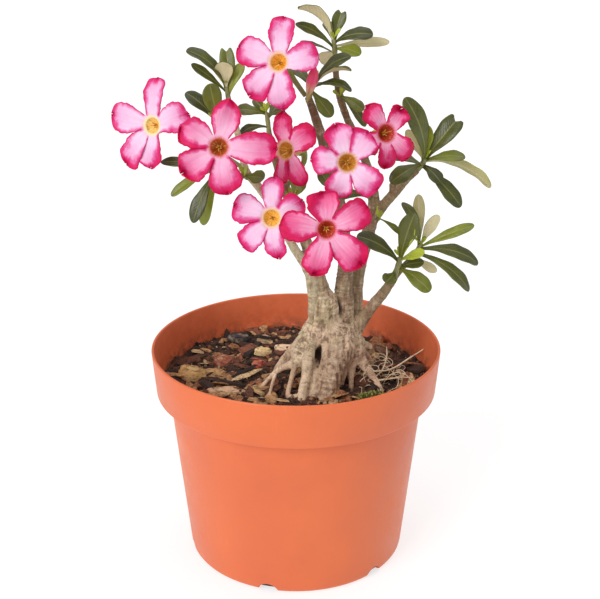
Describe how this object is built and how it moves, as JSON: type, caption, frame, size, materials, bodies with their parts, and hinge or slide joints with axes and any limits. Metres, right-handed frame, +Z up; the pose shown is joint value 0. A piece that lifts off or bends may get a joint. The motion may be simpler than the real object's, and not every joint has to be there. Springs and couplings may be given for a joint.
{
  "type": "potted desert rose adenium",
  "caption": "Desert rose with a swollen caudex, raised roots, forking bare branches, leathery leaf rosettes and pink trumpet flowers, in a stepped plastic nursery pot.",
  "frame": {"origin": "middle of the pot's underside, on the surface it stands on", "axes": "+Z up along the pot's axis, -Y towards the side that the flowers face, +X to the right of that view"},
  "size_m": [0.2342, 0.19, 0.3641],
  "materials": {
    "pot": "smooth moulded terracotta-orange plastic with a soft sheen",
    "soil": "dark, coarse potting mix",
    "bark_chip_1": "rough broken bark",
    "bark_chip_2": "rough broken bark",
    "bark_chip_3": "rough broken bark",
    "bark_chip_4": "rough broken bark",
    "bark_chip_5": "rough broken bark",
    "bark_chip_6": "rough broken bark",
    "bark_chip_7": "rough broken bark",
    "bark_chip_8": "rough broken bark",
    "bark_chip_9": "rough broken bark",
    "bark_chip_10": "rough broken bark",
    "bark_chip_11": "rough broken bark",
    "bark_chip_12": "rough broken bark",
    "bark_chip_13": "rough broken bark",
    "moss": "fine soft moss",
    "wood": "grey-beige ringed bark",
    "leaf": "smooth leathery leaf with a satin shine",
    "petal": "velvety, near white by the throat and magenta at the margin",
    "flower_tube": "soft, yellow to green",
    "bud": "soft, pink over a cream foot"
  },
  "bodies": {
    "root": {"pot": "pot", "soil": "soil", "bark_chip_1": "bark_chip_1", "bark_chip_2": "bark_chip_2", "bark_chip_3": "bark_chip_3", "bark_chip_4": "bark_chip_4", "bark_chip_5": "bark_chip_5", "bark_chip_6": "bark_chip_6", "bark_chip_7": "bark_chip_7", "bark_chip_8": "bark_chip_8", "bark_chip_9": "bark_chip_9", "bark_chip_10": "bark_chip_10", "bark_chip_11": "bark_chip_11", "bark_chip_12": "bark_chip_12", "bark_chip_13": "bark_chip_13", "moss": "moss", "trunk": "wood", "leaves_top": "leaf", "leaves_upper_stem": "leaf", "leaves_middle": "leaf", "leaves_upper_left": "leaf", "leaves_left": "leaf", "leaves_centre_sprig": "leaf", "leaves_centre_left": "leaf", "leaves_low_left": "leaf", "leaves_centre": "leaf", "leaves_centre_right": "leaf", "leaves_back_stem": "leaf", "leaves_fork": "leaf", "leaves_right": "leaf", "leaves_low_right": "leaf", "leaves_far_right": "leaf", "flower_1_petals": "petal", "flower_1_tube": "flower_tube", "flower_2_petals": "petal", "flower_2_tube": "flower_tube", "flower_3_petals": "petal", "flower_3_tube": "flower_tube", "flower_4_petals": "petal", "flower_4_tube": "flower_tube", "flower_5_petals": "petal", "flower_5_tube": "flower_tube", "flower_6_petals": "petal", "flower_6_tube": "flower_tube", "flower_7_petals": "petal", "flower_7_tube": "flower_tube", "flower_8_petals": "petal", "flower_8_tube": "flower_tube", "bud": "bud"}
  },
  "joints": []
}
